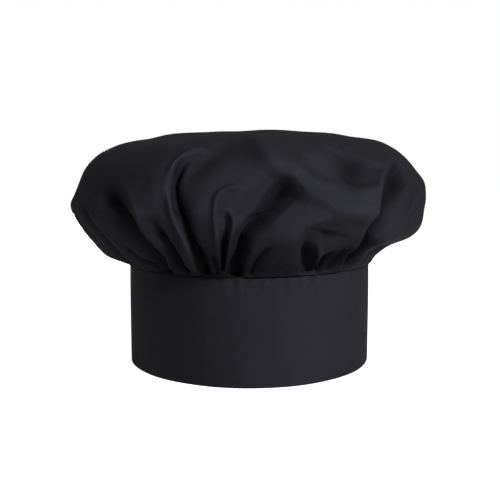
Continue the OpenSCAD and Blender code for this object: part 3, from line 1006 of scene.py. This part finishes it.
def tab_depth(along, up):
    """Distance in from the tab's outline, which has two round free corners."""
    past = np.maximum(along - (TAB_LENGTH - TAB_CORNER), 0)
    over = np.maximum(np.abs(up) - (TAB_HALF - TAB_CORNER), 0)
    straight = np.minimum(TAB_LENGTH - along, TAB_HALF - np.abs(up))
    return np.where((past > 0) & (over > 0), TAB_CORNER - np.hypot(past, over), straight)


def tab_grid(inset, start, columns=58, rows=60):
    """A grid over the tab's outline moved in by inset, from the top edge down, and the outward
    direction at each column's two ends."""
    corner = TAB_LENGTH - TAB_CORNER
    turn = np.linspace(0, math.pi / 2, 9)[1:]
    straight = np.linspace(start, corner, columns)
    along = np.r_[straight, corner + (TAB_CORNER - inset) * np.sin(turn)]
    half = np.r_[np.full(columns, TAB_HALF - inset),
                 TAB_HALF - TAB_CORNER + (TAB_CORNER - inset) * np.cos(turn)]
    angle = np.r_[np.zeros(columns), turn]
    share = np.linspace(1, -1, rows)
    return along[:, None] + 0 * share, half[:, None] * share, angle


def tab_swell(along, up, frames):
    """The outer face's quilted look: full between the rows of stitching, drawn in along them."""
    depth = tab_depth(along, up)
    swell = 0.22 * MM * smoothstep(2.8 * MM, 7 * MM, depth)
    swell -= 0.16 * MM * np.exp(-((depth - 2.7 * MM) / (0.6 * MM)) ** 2)
    z = TAB_MIDDLE + up
    arc = math.radians(ROOT_ANGLE) * TAB_OUT - along * TAB_OUT / TAB_R
    for (a0, a1), (z0, z1) in frames:
        dx = np.abs(arc - math.radians(a0 + a1) / 2 * TAB_OUT) - math.radians(a1 - a0) / 2 * TAB_OUT
        dz = np.abs(z - (z0 + z1) / 2) - (z1 - z0) / 2
        from_row = np.abs(np.maximum(dx, dz) + TAPE_INSET)
        swell -= 0.15 * MM * np.exp(-(from_row / (0.7 * MM)) ** 2)
    return swell


def tab_face(along, up, frames):
    """Points on the tab's outer face, quilted round frames of stitching."""
    points = tab_place(along, up, 1.0)
    swell = tab_swell(along, up, frames) * smoothstep(0, 8 * MM, along)
    return points + radial(points) * swell[..., None]


def tab_border(along, up, angle):
    """The upper, free and lower edge of the tab's grid: indices, places and ways out."""
    columns, rows = along.shape
    top = [(c, 0, math.sin(angle[c]), math.cos(angle[c])) for c in range(columns)]
    end = [(columns - 1, k, 1.0, 0.0) for k in range(1, rows - 1)]
    bottom = [(c, rows - 1, x, -y) for c, _, x, y in reversed(top)]
    border = top + end + bottom
    index = [c * rows + k for c, k, _, _ in border]
    at = np.array([(along[c, k], up[c, k]) for c, k, _, _ in border])
    return index, at, np.array([(x, y) for _, _, x, y in border])


def tab_cover():
    """The tab's outer ply: its face, rounded edges and the margin turned in to the other side."""
    along, up, angle = tab_grid(TAB_EDGE, -RAMP)
    frames = [(tape_span(node, TAB_IN), tuple(corner[2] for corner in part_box(node)))
              for node in ("hook_tape_upper", "hook_tape_lower")]
    points = [tab_face(along, up, frames).reshape(-1, 3)]
    uv = [np.stack([along, up], -1).reshape(-1, 2)]
    faces = grid_faces(*along.shape)
    index, at, out = tab_border(along, up, angle)
    turns = [(TAB_EDGE * math.sin(t), 0.5 + 0.5 * math.cos(t))
             for t in np.linspace(0, math.pi, 8)[1:]]
    turns += [(-0.6 * MM, 0.0), (-1.2 * MM, 0.01)]
    for ring, (offset, through) in enumerate(turns):
        first = along.size + ring * len(index)
        new = range(first, first + len(index))
        points.append(tab_place(*(at + out * offset).T, through))
        uv.append(at + out * (TAB_EDGE * (ring + 1) * 0.4))
        faces += [(index[i], new[i], new[i + 1], index[i + 1]) for i in range(len(index) - 1)]
        index = new
    cover = new_object("tab_cloth", np.vstack(points), faces, uv=np.vstack(uv), material=twill)
    thicken(cover, TAB_PLY, offset=-1)
    return cover


def tab_panel(name, inset, start, through, recess, material):
    """An inner layer of the tab, at a share through its thickness, that sinks in at its edges."""
    along, up, _ = tab_grid(inset, start, columns=44, rows=44)
    middle = tab_place(along, up, through)
    sunk = recess * (1 - smoothstep(2.2 * MM, 6 * MM, tab_depth(along, up)))
    middle += radial(middle) * sunk[..., None]
    return grid_sheet(name, middle, (along, up), material, TAB_PLY)


def across_the_hinge(piece):
    """Bakes a piece's placement into its mesh. The hinge's place is worked out but not used."""
    hinge = on_ring(ROOT_ANGLE, TAB_R, TAB_MIDDLE)
    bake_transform(piece)


def make_tab():
    cover = tab_cover()
    across_the_hinge(cover)
    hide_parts("tab_shell")

    facing = tab_panel("tab_facing_cloth", inset=1.3 * MM, start=-3.4 * MM, through=0.14,
                       recess=0.55 * MM, material=twill)
    across_the_hinge(facing)
    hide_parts("tab_facing")

    core = tab_panel("tab_interfacing_felt", inset=2.4 * MM, start=4 * MM, through=0.55,
                     recess=0, material=felt)
    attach(core, "closure_tab")
    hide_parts("tab_interfacing")


def sew_tab_edge():
    """The row along the tab's upper edge, round its free end and back along its lower edge."""
    low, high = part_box("tab_edge_stitching")
    inset = TAB_HALF - (high[2] - low[2]) / 2 + 0.25 * MM
    start = 4.2 * MM            # clear of the bartacks at the root
    corner = TAB_LENGTH - TAB_CORNER
    turn = np.linspace(0, math.pi / 2, 9)
    radius = TAB_CORNER - inset
    upper = [(start, TAB_HALF - inset)]
    upper += [(corner + radius * math.sin(t), TAB_HALF - TAB_CORNER + radius * math.cos(t))
              for t in turn]
    lower = [(x, -y) for x, y in reversed(upper)]
    along, up = even_points(upper + lower, 0.5 * MM).T
    sew("tab_edge_stitches", "closure_tab", stitch_lines(tab_face(along, up, [])),
        "tab_edge_stitching")


make_tapes()
sew_root()
make_tab()
sew_tab_edge()


# ---- inside: stiffening and label

def make_band_interfacing():
    panel = curved_panel("band_interfacing_felt", (ROOT_ANGLE, ROOT_ANGLE + 360 - BAND_GAP),
                         (interfacing_low[2], interfacing_high[2]),
                         BAND_OUT - PLY - STIFFENER / 2 - 0.1 * MM, 0.4 * MM, felt, step=3 * MM)
    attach(panel, "hat")
    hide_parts("band_interfacing")


def make_label():
    """A blank woven label that stands up from the seam and leans in a little."""
    width = label_high[0] - label_low[0]
    height = label_high[2] - label_low[2]
    x, up = np.meshgrid(np.linspace(-width / 2, width / 2, 25), np.linspace(0, 1, 25), indexing="ij")
    y = label_low[1] + 0.3 * MM - 3.5 * MM * up ** 2 - 0.6 * MM * (2 * x / width) ** 2 * up
    points = np.stack([x, y, label_low[2] + height * up], -1)
    label = grid_sheet("blank_label", points, (x, height * up), label_satin, 0.25 * MM)
    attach(label, "hat")
    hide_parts("care_label")

    low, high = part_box("care_label_stitching")
    row = np.linspace(low[0], high[0], 40)
    path = np.stack([row, 0 * row + label_low[1] + 0.45 * MM, 0 * row + (low[2] + high[2]) / 2], 1)
    lines = stitch_lines(path)
    lines[..., 1] -= 0.35 * MM
    sew("label_stitches", "hat", lines, "care_label_stitching", radius=0.12 * MM)


make_band_interfacing()
make_label()


# ---- floor, light and camera

FLOOR_SIZE = 12.0
FLOOR_SHOWS = 0.9               # how pale the floor is to the camera
FLOOR_GLOW = 0.9                # what the white studio adds to the floor's own brightness
FLOOR_BOUNCE = 0.5              # how much of its light the floor sends back up at the hat
ROOM_LIGHT = 0.12               # brightness of the studio round the hat, where the backdrop is 1
LAMP_AIM = (0, 0, 0.1)
LAMP_COLOUR = (0.94, 0.94, 1.0)

CAMERA_PLACE = (0.0006, -0.650, 0.168)
CAMERA_TILT = 82.9              # degrees up from straight down
CAMERA_LENS = 58.1              # mm, on a sensor 36 mm wide


def seen_by_camera(tree):
    return tree.nodes.new("ShaderNodeLightPath").outputs["Is Camera Ray"]


def pale_floor():
    material, tree, shader = new_material(
        "pale_floor", Roughness=0.9, Specular_IOR_Level=0.1, Emission_Color=(1, 1, 1, 1))
    seen = seen_by_camera(tree)
    feed(tree, shader, Base_Color=ramp_node(tree, seen, (FLOOR_BOUNCE,) * 3, (FLOOR_SHOWS,) * 3),
         Emission_Strength=math_node(tree, "MULTIPLY", seen, FLOOR_GLOW))
    corners = rectangle((-FLOOR_SIZE / 2, -FLOOR_SIZE / 2), (FLOOR_SIZE / 2, FLOOR_SIZE / 2))[:4]
    floor = new_object("floor", [(x, y, 0) for x, y in corners], [(0, 1, 2, 3)],
                       material=material)


def lamp(name, place, size, power):
    """A square soft lamp that points at the hat. Its size is in metres, its power in watts."""
    light = bpy.data.lights.new(name, "AREA")
    light.size = size
    light.energy = power
    light.color = LAMP_COLOUR
    stand = placed(name, light)
    stand.location = place
    aim = Vector(LAMP_AIM) - Vector(place)
    stand.rotation_euler = aim.to_track_quat("-Z", "Y").to_euler()


def studio():
    """A key lamp at the right, a weak one at the left, one above, and one low behind the hat that
    lights only its back, in a white room."""
    lamp("key_light", (0.87, -1.27, 0.82), size=0.36, power=31)
    lamp("left_light", (-1.22, -1.03, 0.68), size=0.8, power=1.4)
    lamp("top_light", (0.25, 0.3, 1.7), size=0.8, power=2.0)
    lamp("back_light", (-0.45, 1.5, 0.14), size=0.2, power=13)
    world = bpy.data.worlds.new("studio_white")
    bpy.context.scene.world = world
    world.use_nodes = True
    tree = world.node_tree
    feed(tree, tree.nodes["Background"], Color=(1, 1, 1, 1),
         Strength=math_node(tree, "MAXIMUM", seen_by_camera(tree), ROOM_LIGHT))
    bpy.context.scene.view_settings.view_transform = "Standard"


def camera():
    data = bpy.data.cameras.new("camera")
    data.sensor_width = 36
    data.lens = CAMERA_LENS
    cam = placed("camera", data)
    cam.location = CAMERA_PLACE
    cam.rotation_euler = (math.radians(CAMERA_TILT), 0, 0)
    bpy.context.scene.camera = cam


pale_floor()
studio()
camera()
